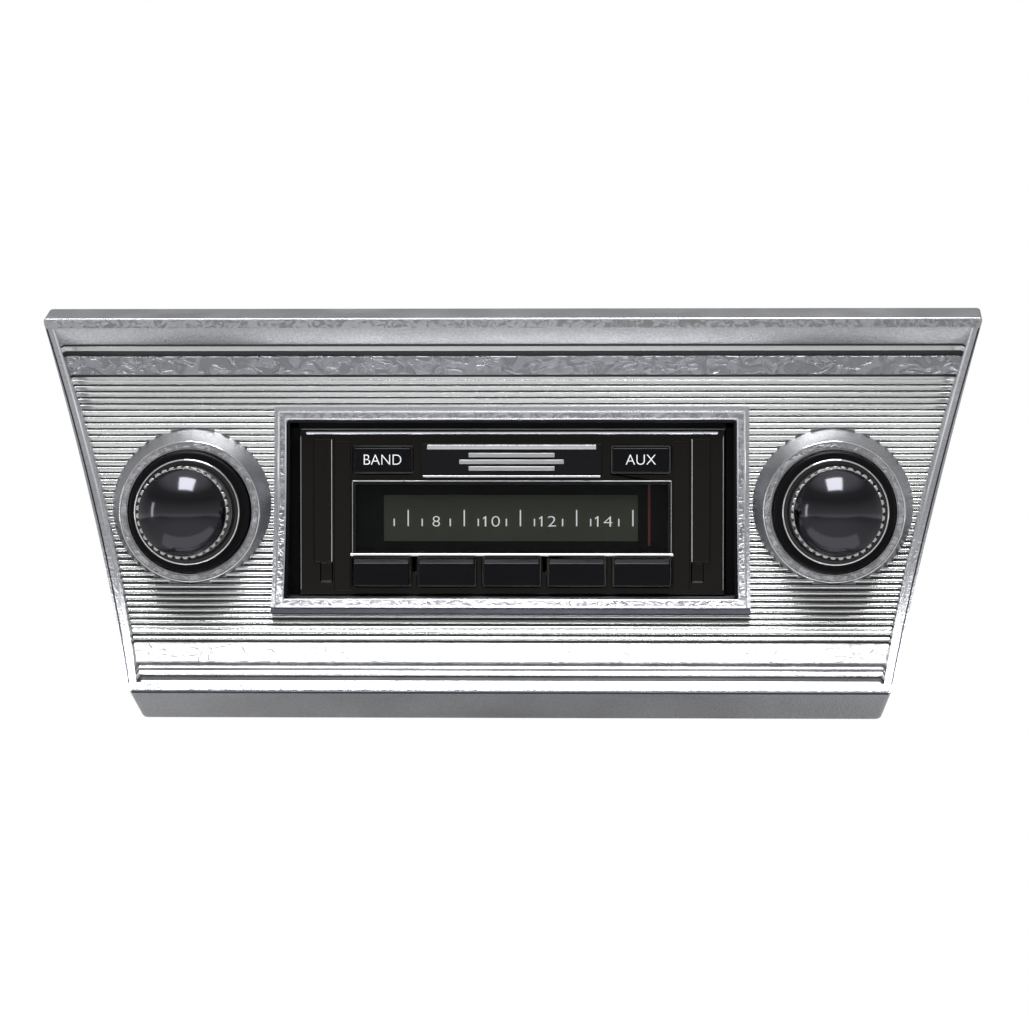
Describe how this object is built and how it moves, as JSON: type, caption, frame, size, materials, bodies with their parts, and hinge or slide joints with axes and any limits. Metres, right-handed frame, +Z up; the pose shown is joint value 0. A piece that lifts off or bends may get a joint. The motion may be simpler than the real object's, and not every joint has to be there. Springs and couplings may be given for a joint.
{
  "type": "car radio",
  "caption": "Push-button car radio: cast trapezoidal dash bezel, two concentric control knobs, dial window with pointer, preset buttons and a steel chassis behind.",
  "frame": {"origin": "midway between the two control shafts, on the plane of the dash panel", "axes": "+X to the right seen from the front, +Y back into the dash along the control shafts, +Z up"},
  "size_m": [0.2428, 0.1738, 0.1053],
  "materials": {
    "bezel_chrome": "satin chrome on a zinc die casting, crinkle texture on the flat bands",
    "nose_plastic": "glossy smoked black",
    "window_lens": "tinted clear acrylic",
    "dial_plate": "dark green-grey printed dial",
    "badge_plate": "glossy black with bright edges",
    "key_plastic": "semi-gloss bluish black",
    "pointer_red": "dark red",
    "knob_chrome": "bright chrome",
    "black_chrome": "mirror black chrome",
    "grip_ring": "pale serrated ring",
    "black_plastic": "satin black",
    "white_plastic": "natural nylon",
    "steel": "bright zinc",
    "zinc_plated_steel": "zinc-plated sheet steel",
    "brass": "nickel-flashed brass",
    "circuit_board": "green solder resist",
    "dial_cord": "waxed braided cord",
    "aluminium": "extruded, satin"
  },
  "bodies": {
    "radio": {"bezel_casting": "bezel_chrome", "nose_shell": "nose_plastic", "window_lens": "window_lens", "badge_plate": "badge_plate", "dial_plate": "dial_plate", "preset_switch_board": "circuit_board", "key_switch_board": "circuit_board", "idler_pin": "steel", "dial_cord": "dial_cord", "pointer_rail": "steel", "rail_bracket_left": "zinc_plated_steel", "rail_bracket_right": "zinc_plated_steel", "dial_lamp_board": "circuit_board", "left_nut": "steel", "left_washer": "steel", "left_bushing": "brass", "tone_control": "zinc_plated_steel", "volume_control": "zinc_plated_steel", "right_nut": "steel", "right_washer": "steel", "right_bushing": "brass", "fader_control": "zinc_plated_steel", "tuning_bearing": "zinc_plated_steel", "chassis_tray": "zinc_plated_steel", "top_cover": "zinc_plated_steel", "cover_screw_left": "steel", "cover_screw_right": "steel", "rear_panel": "zinc_plated_steel", "heat_sink": "aluminium", "aerial_socket": "steel", "rear_support_stud": "steel", "output_choke": "steel", "supply_connector": "white_plastic", "main_board": "circuit_board", "tuner_can": "steel", "output_amplifier": "black_plastic", "filter_capacitor": "black_plastic"},
    "volume_knob": {"volume_knob_dome": "black_chrome", "volume_knob_grip": "grip_ring", "volume_knob_skirt": "knob_chrome", "volume_shaft": "steel"},
    "tone_ring": {"tone_ring": "black_plastic", "tone_shaft": "brass"},
    "tuning_knob": {"tuning_knob_dome": "black_chrome", "tuning_knob_grip": "grip_ring", "tuning_knob_skirt": "knob_chrome", "tuning_shaft": "steel", "tuning_drum": "white_plastic"},
    "fader_ring": {"fader_ring": "black_plastic", "fader_shaft": "brass"},
    "pointer": {"dial_pointer": "pointer_red"},
    "idler": {"idler_pulley": "white_plastic"},
    "preset_button_1": {"preset_button_1": "key_plastic"},
    "preset_button_2": {"preset_button_2": "key_plastic"},
    "preset_button_3": {"preset_button_3": "key_plastic"},
    "preset_button_4": {"preset_button_4": "key_plastic"},
    "preset_button_5": {"preset_button_5": "key_plastic"},
    "band_key": {"band_key": "key_plastic"},
    "aux_key": {"aux_key": "key_plastic"}
  },
  "joints": [
    {"name": "volume_turn", "type": "hinge", "parent": "radio", "child": "volume_knob", "pos_m": [-0.08255, 0, 0], "axis": [0, 1, 0], "range_deg": [0, 300]},
    {"name": "tone_turn", "type": "hinge", "parent": "radio", "child": "tone_ring", "pos_m": [-0.08255, 0, 0], "axis": [0, 1, 0], "range_deg": [-135, 135]},
    {"name": "tuning_turn", "type": "hinge", "parent": "radio", "child": "tuning_knob", "pos_m": [0.08255, 0, 0], "axis": [0, 1, 0], "range_deg": [-957.18, 0]},
    {"name": "fader_turn", "type": "hinge", "parent": "radio", "child": "fader_ring", "pos_m": [0.08255, 0, 0], "axis": [0, 1, 0], "range_deg": [-135, 135]},
    {"name": "pointer_slide", "type": "slide", "parent": "radio", "child": "pointer", "axis": [1, 0, 0], "range_m": [-0.0715, 0]},
    {"name": "idler_turn", "type": "hinge", "parent": "radio", "child": "idler", "pos_m": [-0.06, 0, 0], "axis": [0, 1, 0], "range_deg": [-962.18, 0]},
    {"name": "preset_button_1_press", "type": "slide", "parent": "radio", "child": "preset_button_1", "axis": [0, 1, 0], "range_m": [0, 0.0025], "stiffness_N_per_m": 400, "springref_m": -0.001},
    {"name": "preset_button_2_press", "type": "slide", "parent": "radio", "child": "preset_button_2", "axis": [0, 1, 0], "range_m": [0, 0.0025], "stiffness_N_per_m": 400, "springref_m": -0.001},
    {"name": "preset_button_3_press", "type": "slide", "parent": "radio", "child": "preset_button_3", "axis": [0, 1, 0], "range_m": [0, 0.0025], "stiffness_N_per_m": 400, "springref_m": -0.001},
    {"name": "preset_button_4_press", "type": "slide", "parent": "radio", "child": "preset_button_4", "axis": [0, 1, 0], "range_m": [0, 0.0025], "stiffness_N_per_m": 400, "springref_m": -0.001},
    {"name": "preset_button_5_press", "type": "slide", "parent": "radio", "child": "preset_button_5", "axis": [0, 1, 0], "range_m": [0, 0.0025], "stiffness_N_per_m": 400, "springref_m": -0.001},
    {"name": "band_key_press", "type": "slide", "parent": "radio", "child": "band_key", "axis": [0, 1, 0], "range_m": [0, 0.0015], "stiffness_N_per_m": 400, "springref_m": -0.001},
    {"name": "aux_key_press", "type": "slide", "parent": "radio", "child": "aux_key", "axis": [0, 1, 0], "range_m": [0, 0.0015], "stiffness_N_per_m": 400, "springref_m": -0.001}
  ],
  "couplings": [
    {"joint": "pointer_slide", "follows": "tuning_turn", "m_per_rad": 0.00425},
    {"joint": "idler_turn", "follows": "tuning_turn", "ratio": 1}
  ]
}
